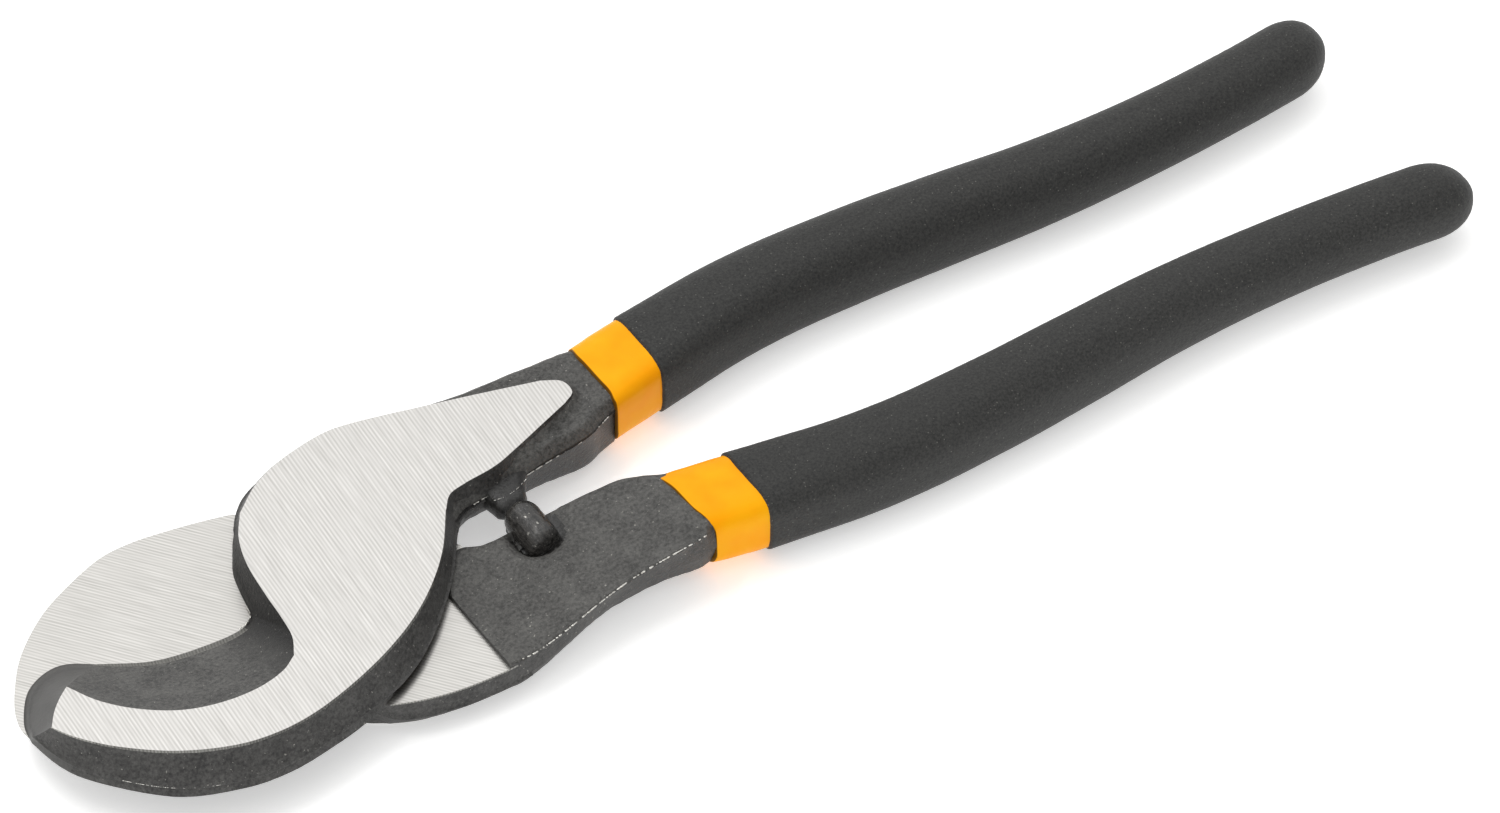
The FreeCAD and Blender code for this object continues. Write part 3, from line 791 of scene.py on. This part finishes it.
def dip_tree():
    """Node tree of one dipped coat: a squared tube along the handle, in millimetres."""
    coat_zero, axis_z = 45.6, 7.2            # where the curves below start, mid height
    end_power = 2.2                          # roundness of the closed end
    tree, given = new_tree("dipped_sleeve", {
        "Start": 50.0, "End": 189.0, "Side": 1.0, "Inset": 0.0, "Lip": 0.9, "Wall": 1.5,
        "End round": 8.0, "Run end": 189.0, "Grain": 0.05, "Grain size": 0.8,
        "Waviness": 0.3, "Tilt": 0.0, "Square": 1.0, "Seed": 0.0},
        {"Rings": 200, "Around": 96})

    def calc(*parts):
        return math_node(tree, *parts)

    def curve(source, points, span):
        """A smooth curve through share and value, for values from 0 to span."""
        node = add_node(tree, "ShaderNodeFloatCurve", links={"Value": source})
        line = node.mapping.curves[0]
        while len(line.points) < len(points):
            line.points.new(0.5, 0.5)
        for p, (at, value) in zip(line.points, points):
            p.location = (at, value / span)
        node.mapping.update()
        return calc("MULTIPLY", node.outputs[0], span)

    grid = add_node(tree, "GeometryNodeMeshGrid", {"Size X": 1.0, "Size Y": 1.0},
                    {"Vertices X": given["Rings"], "Vertices Y": given["Around"]})
    where = add_node(tree, "ShaderNodeSeparateXYZ",
                     links={0: add_node(tree, "GeometryNodeInputPosition").outputs[0]})
    along = calc("ADD", where.outputs[0], 0.5)
    around = calc("MULTIPLY", calc("ADD", where.outputs[1], 0.5), 2 * math.pi)
    eased = calc("MULTIPLY_ADD", calc("COSINE", calc("MULTIPLY", along, math.pi)), -0.5, 0.5)
    length = calc("SUBTRACT", given["End"], given["Start"])
    x = calc("MULTIPLY_ADD", eased, length, given["Start"])
    share = calc("DIVIDE", calc("SUBTRACT", x, coat_zero),
                 calc("SUBTRACT", given["Run end"], coat_zero))
    # the handle's centre line, half width, half thickness and squareness along it
    centre = curve(share, [(0, 14.6), (0.125, 17.7), (0.25, 19.8), (0.375, 19.6), (0.5, 18.4),
                           (0.625, 17.1), (0.75, 17.0), (0.875, 18.0), (0.945, 19.0),
                           (1.0, 19.9)], 25.0)
    half_w = curve(share, [(0, 7.9), (0.125, 7.6), (0.25, 7.2), (0.375, 6.9), (0.5, 6.6),
                           (0.625, 6.3), (0.75, 6.0), (0.875, 5.9), (1.0, 5.9)], 10.0)
    half_t = curve(share, [(0, 5.35), (0.125, 6.3), (0.25, 7.0), (0.375, 7.2), (0.5, 7.1),
                           (0.625, 6.5), (0.75, 6.0), (0.875, 5.75), (1.0, 5.7)], 10.0)
    power = curve(share, [(0, 4.4), (0.06, 4.1), (0.125, 3.4), (0.25, 2.7), (0.4, 2.5),
                          (1.0, 2.4)], 5.0)
    power = calc("MULTIPLY", power, given["Square"])
    # the lip rolls over to the coat below it, the far end closes like a test tube
    into = calc("SUBTRACT", 1.0, calc("DIVIDE", calc("SUBTRACT", x, given["Start"]), given["Lip"]))
    into = add_node(tree, "ShaderNodeClamp", links={0: into}).outputs[0]
    roll = calc("SUBTRACT", 1.0, calc("SQRT", calc("SUBTRACT", 1.0, calc("MULTIPLY", into, into))))
    inset = calc("MULTIPLY_ADD", roll, given["Wall"], given["Inset"])
    left = calc("DIVIDE", calc("SUBTRACT", given["End"], x), given["End round"])
    left = add_node(tree, "ShaderNodeClamp", links={0: calc("SUBTRACT", 1.0, left)}).outputs[0]
    close = calc("POWER", calc("SUBTRACT", 1.0, calc("POWER", left, end_power)), 1 / end_power)
    exponent = calc("DIVIDE", 2.0, power)
    offsets = []
    for turn, half in (("COSINE", half_w), ("SINE", half_t)):
        t = calc(turn, around)
        squared = calc("MULTIPLY", calc("SIGN", t), calc("POWER", calc("ABSOLUTE", t), exponent))
        size = calc("MULTIPLY", calc("SUBTRACT", half, inset), close)
        offsets.append(calc("MULTIPLY", squared, size))
    y = calc("MULTIPLY", calc("ADD", centre, offsets[0]), given["Side"])
    z = calc("ADD", offsets[1], axis_z)
    swell = add_node(tree, "ShaderNodeCombineXYZ",
                     links={0: calc("COSINE", around), 1: calc("SINE", around), 2: given["Seed"]})
    wander = noise_node(tree, swell.outputs[0], 1.1, 1.0)
    wander = calc("MULTIPLY", calc("SUBTRACT", wander, 0.5), 4.0)
    lean = calc("MULTIPLY", calc("COSINE", around), given["Tilt"])
    drift = calc("MULTIPLY", calc("MULTIPLY_ADD", wander, given["Waviness"], lean),
                 calc("POWER", calc("SUBTRACT", 1.0, eased), 6.0))
    place = add_node(tree, "ShaderNodeCombineXYZ", links={0: calc("ADD", x, drift), 1: y, 2: z})
    # the lip's share is kept for the coat's painted shade
    marked = add_node(tree, "GeometryNodeStoreNamedAttribute", {"Name": "lip"},
                      {"Geometry": grid.outputs["Mesh"], "Value": into})
    shaped = add_node(tree, "GeometryNodeSetPosition",
                      links={"Geometry": marked.outputs[0], "Position": place.outputs[0]})
    welded = add_node(tree, "GeometryNodeMergeByDistance", {"Distance": 0.004},
                      {"Geometry": shaped.outputs[0]})
    grain = add_node(tree, "ShaderNodeTexNoise", {"Detail": 2.0},
                     {"Vector": add_node(tree, "GeometryNodeInputPosition").outputs[0],
                      "Scale": calc("DIVIDE", 1.0, given["Grain size"])})
    lift = calc("MULTIPLY", calc("SUBTRACT", grain.outputs[0], 0.5), given["Grain"])
    lift = calc("MULTIPLY", lift, given["Side"])
    normal = add_node(tree, "GeometryNodeInputNormal")
    push = add_node(tree, "ShaderNodeVectorMath", {"operation": "SCALE"},
                    {0: normal.outputs[0], "Scale": lift})
    grained = add_node(tree, "GeometryNodeSetPosition",
                       links={"Geometry": welded.outputs[0], "Offset": push.outputs[0]})
    small = add_node(tree, "GeometryNodeTransform", {"Scale": (MM, MM, MM)},
                     {"Geometry": grained.outputs[0]})
    smooth = add_node(tree, "GeometryNodeSetShadeSmooth", links={"Geometry": small.outputs[0]})
    return closed_tree(tree, smooth.outputs[0], given["Material"])


def from_tree(name, tree, base=None, **values):
    """Runs a tree on a mesh and keeps its result as a plain mesh object."""
    holder = put(name + "_maker", base or bpy.data.meshes.new(name + "_base"))
    modifier = holder.modifiers.new("maker", "NODES")
    modifier.node_group = tree
    for item in tree.interface.items_tree:
        key = item.name.replace(" ", "_").lower()
        if item.in_out == "INPUT" and key in values:
            modifier[item.identifier] = values[key]
    done = holder.evaluated_get(bpy.context.evaluated_depsgraph_get())
    mesh = bpy.data.meshes.new_from_object(done)
    bpy.data.objects.remove(holder)
    mesh.name = name
    work = bmesh.new()
    work.from_mesh(mesh)
    bmesh.ops.recalc_face_normals(work, faces=work.faces)
    work.to_mesh(mesh)
    work.free()
    return put(name, mesh)


def amber_vinyl():
    """Plasticised PVC, dipped: opaque warm amber, smooth, softly glossy, with the slow
    unevenness of a coat that ran before it set. Painted shade darkens its front lip."""
    made, tree, shader, place = new_material("plastisol_amber_dipped")
    slow = noise_node(tree, place, 1 / (6 * MM), 2.0)
    coat = ramp(tree, slow, [(0.3, "#FFA206"), (0.7, "#FFB210")])
    # painted shade: dark brown laid over the coat along the front of its lip
    lip = add_node(tree, "ShaderNodeAttribute", {"attribute_name": "lip"})
    lip_shade = ramp(tree, lip.outputs["Fac"], [(0.2, 0.0), (0.5, 0.85)])
    fine = noise_node(tree, place, 1 / (1.4 * MM), 2.0)
    finished(tree, shader, laid_over(tree, lip_shade, coat, "#2E2212"),
             ramp(tree, fine, [(0.3, 0.33), (0.7, 0.43)]), slow, 0.12, 0.0002, 1.53)
    shader.inputs["Specular IOR Level"].default_value = 0.22
    shader.inputs["Specular Tint"].default_value = linear("#FFBE70")
    return made


def foamed_vinyl():
    """Foamed PVC, dipped: near-black charcoal, dead matt, pitted like fine felt, with
    pale specks a fifth of a millimetre across where bubbles broke the skin."""
    made, tree, shader, place = new_material("foamed_plastisol_charcoal_dipped")
    pits = noise_node(tree, place, 1 / (0.42 * MM), 3.0, 0.7)
    skin = ramp(tree, pits, [(0.34, "#131312"), (0.66, "#3A3A38")])
    dots = add_node(tree, "ShaderNodeTexVoronoi", {"Scale": 1 / (0.66 * MM)}, {"Vector": place})
    size = ramp(tree, dots.outputs["Distance"], [(0.10, 1.0), (0.20, 0.0)])
    pick = add_node(tree, "ShaderNodeSeparateColor", links={0: dots.outputs["Color"]})
    some = ramp(tree, pick.outputs[0], [(0.5, 0.0), (0.9, 0.45)])
    specked = laid_over(tree, math_node(tree, "MULTIPLY", size, some), skin, "#8C8A84")
    finished(tree, shader, specked, ramp(tree, pits, [(0.3, 0.72), (0.7, 0.88)]), pits, 0.6,
             0.00014, 1.5)
    shader.inputs["Sheen Weight"].default_value = 0.12
    shader.inputs["Sheen Roughness"].default_value = 0.5
    return made


amber = amber_vinyl()
charcoal = foamed_vinyl()
sleeves = dip_tree()
for hand, side, body, early, lean in (("upper", 1.0, "front_half", 0.0, 0.0),
                                      ("lower", -1.0, "rear_half", 0.8, 1.5)):
    dip_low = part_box(hand + "_inner_dip")[0]
    grip_low, grip_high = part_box(hand + "_grip")
    run_end = grip_high[0] / MM
    dip = from_tree(hand + "_dip_coat", sleeves, start=dip_low[0] / MM - 0.8 * early,
                    end=grip_low[0] / MM + 6.0, side=side, inset=0.45, lip=0.4, wall=0.7,
                    end_round=1.0, run_end=run_end, grain=0.14, grain_size=2.6, waviness=0.26,
                    tilt=lean, square=1.12, seed=2.0 + side, rings=90, around=144,
                    material=amber)
    grip = from_tree(hand + "_grip_foam", sleeves, start=grip_low[0] / MM - early, end=run_end,
                     side=side, inset=0.0, lip=0.5, wall=0.8, end_round=8.0, run_end=run_end,
                     grain=0.10, grain_size=0.8, waviness=0.15, seed=5.0 + side, rings=420,
                     around=168, material=charcoal)
    for piece, node, slot in ((dip, hand + "_inner_dip", "inner_dip"),
                              (grip, hand + "_grip", "outer_grip")):
        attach(piece, body)
        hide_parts(node)

# ---- flash burrs -----------------------------------------------------------------
# Trimming the forgings leaves a torn line of bare bright metal along the parting
# line. Each burr is a small squashed flake, a few tenths of a millimetre long.


def burr_tree():
    """Node tree that scatters small squashed flakes at even steps along a path."""
    tree, given = new_tree("burr_line", {"Spacing": 0.0005, "Flake": 0.0002, "Share": 0.6},
                           {"Seed": 1}, from_mesh=True)
    line = add_node(tree, "GeometryNodeMeshToCurve", links={"Mesh": given["Geometry"]})
    even = add_node(tree, "GeometryNodeResampleCurve", links={"Curve": line.outputs[0]})
    even.mode = "LENGTH"
    tree.links.new(given["Spacing"], even.inputs["Length"])
    points = add_node(tree, "GeometryNodeCurveToPoints", {"mode": "EVALUATED"},
                      {"Curve": even.outputs[0]})
    some = add_node(tree, "FunctionNodeRandomValue", {"data_type": "BOOLEAN"},
                    {"Probability": given["Share"], "Seed": given["Seed"]})
    flake = add_node(tree, "GeometryNodeMeshIcoSphere", {"Radius": 1.0, "Subdivisions": 1})
    size = add_node(tree, "FunctionNodeRandomValue", {"data_type": "FLOAT_VECTOR"},
                    {"Seed": given["Seed"]})
    size.inputs[0].default_value = (0.6, 0.25, 0.25)
    size.inputs[1].default_value = (2.2, 0.7, 0.6)
    scaled = add_node(tree, "ShaderNodeVectorMath", {"operation": "SCALE"},
                      {0: size.outputs[0], "Scale": given["Flake"]})
    turn = add_node(tree, "FunctionNodeAlignRotationToVector", {"axis": "X"},
                    {"Vector": points.outputs["Tangent"]})
    copies = add_node(tree, "GeometryNodeInstanceOnPoints",
                      links={"Points": points.outputs["Points"], "Selection": some.outputs[3],
                             "Instance": flake.outputs[0], "Rotation": turn.outputs[0],
                             "Scale": scaled.outputs[0]})
    return closed_tree(tree, copies.outputs[0], given["Material"])


# torn when the flash was trimmed: bare bright steel
bare_steel = ground_steel("carbon_steel_torn_burr", 0.0, 0.2, "#E8E6E0", "#A5A39D")
burrs = burr_tree()
# body, seed, share of places filled, flake's size, and the parting line it follows
lines = {
    "rear_neck_burrs": ("rear_half", 4, 0.42, 0.26, [
        (8.6, -26.75, 7.75), (12.0, -27.2, 7.95), (16.0, -26.7, 8.2), (20.0, -25.9, 8.55),
        (24.0, -25.0, 9.0), (28.0, -24.3, 9.6), (32.0, -23.8, 10.2), (36.0, -23.65, 10.75),
        (40.0, -23.6, 11.25), (44.0, -23.6, 11.7), (46.6, -23.35, 11.95)]),
    "front_neck_burrs": ("front_half", 8, 0.5, 0.24, [
        (18.5, 3.0, 9.25), (22.0, 3.7, 9.15), (26.0, 4.2, 9.0), (30.0, 4.7, 8.7),
        (34.0, 5.2, 8.75), (38.0, 5.6, 9.0), (42.0, 5.95, 9.3), (45.0, 6.8, 9.5),
        (48.0, 8.0, 9.6)]),
    "stop_landing_burrs": ("front_half", 12, 0.6, 0.14, [
        (23.4, 2.2, 9.6), (25.4, 1.9, 9.72), (27.6, 2.2, 9.8), (30.0, 3.2, 9.85)]),
    "hook_burrs": ("front_half", 3, 0.62, 0.13, hook_flash),
    "throat_chips": ("front_half", 7, 0.6, 0.30, [
        (-22.0, 1.9, 7.3), (-20.6, 2.3, 7.35), (-19.4, 3.4, 7.35), (-18.9, 5.4, 7.3)]),
}
burr_step = 0.34
for name, (body, seed, share, flake, points) in lines.items():
    path = walk(points, 160)
    base = bpy.data.meshes.new(name + "_path")
    base.from_pydata([tuple(p * MM) for p in path],
                     [(i, i + 1) for i in range(len(path) - 1)], [])
    made = from_tree(name, burrs, base, spacing=burr_step * MM, flake=flake * MM, share=share,
                     seed=seed, material=bare_steel)
    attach(made, body)

# ---- floor, light and camera -----------------------------------------------------
# A plain pale sweep under soft boxes. Bright boxes stand behind and above, so the
# ground faces catch them and the scaled walls stay dark.
# rolled matt paint: even white that hardly mirrors, lit a little from within
floor_paint, tree, shader, place = new_material("matt_white_paint_rolled")
tone = noise_node(tree, place, 30.0, 2.0)
tree.links.new(ramp(tree, tone, [(0.3, "#F4F4F3"), (0.7, "#F8F8F7")]),
               shader.inputs["Base Color"])
shader.inputs["Roughness"].default_value = 0.9
shader.inputs["Emission Color"].default_value = (1.0, 1.0, 1.0, 1.0)
shader.inputs["Emission Strength"].default_value = 0.42
ground = bmesh.new()
bmesh.ops.create_grid(ground, x_segments=8, y_segments=8, size=3.0)
mesh = bpy.data.meshes.new("floor")
ground.to_mesh(mesh)
ground.free()
floor_gap = 0.0002                       # keeps the floor off the tool's back
mesh.transform(Matrix.Translation((0.07, 0.0, cad_box[0][2] - floor_gap)))
mesh.materials.append(floor_paint)
floor = put("floor", mesh)

world = bpy.data.worlds.new("studio")
world.use_nodes = True
world.node_tree.nodes["Background"].inputs[0].default_value = (1.0, 1.0, 1.0, 1.0)
world.node_tree.nodes["Background"].inputs[1].default_value = 0.42
bpy.context.scene.world = world

aim = Vector((68.92, 0.245, mate_z)) * MM
azimuth, elevation = math.radians(-32.506), math.radians(45.661)
back = Vector((math.sin(azimuth) * math.cos(elevation), -math.cos(azimuth) * math.cos(elevation),
               math.sin(elevation)))


def soft_box(name, direction, distance, size, power):
    """A rectangular lamp that faces the tool, its sizes in metres and power in watts."""
    lamp = bpy.data.lights.new(name, "AREA")
    lamp.shape = "RECTANGLE"
    lamp.size, lamp.size_y = size
    lamp.energy = power
    made = put(name, lamp)
    way = Vector(direction).normalized()
    made.location = aim + way * distance
    made.rotation_euler = way.to_track_quat("Z", "Y").to_euler()


soft_box("box_behind", (0.38, 0.62, 0.72), 1.2, (1.8, 1.4), 6.0)
soft_box("box_over", (-0.25, 0.1, 1.0), 1.1, (2.0, 2.0), 8.0)
soft_box("strip_over", (-0.3, 0.25, 0.9), 1.2, (0.7, 0.1), 2.6)
soft_box("box_front", (-0.5, -0.9, 0.55), 1.4, (0.8, 0.6), 1.5)

lens = bpy.data.cameras.new("camera")
lens.sensor_width = 36.0
lens.lens = 346.08
lens.clip_start, lens.clip_end = 0.1, 20.0
camera = put("camera", lens)
camera_distance = 2.22996
camera.location = aim + back * camera_distance
camera.rotation_euler = back.to_track_quat("Z", "Y").to_euler()
bpy.context.scene.camera = camera
bpy.context.scene.view_settings.view_transform = "Standard"
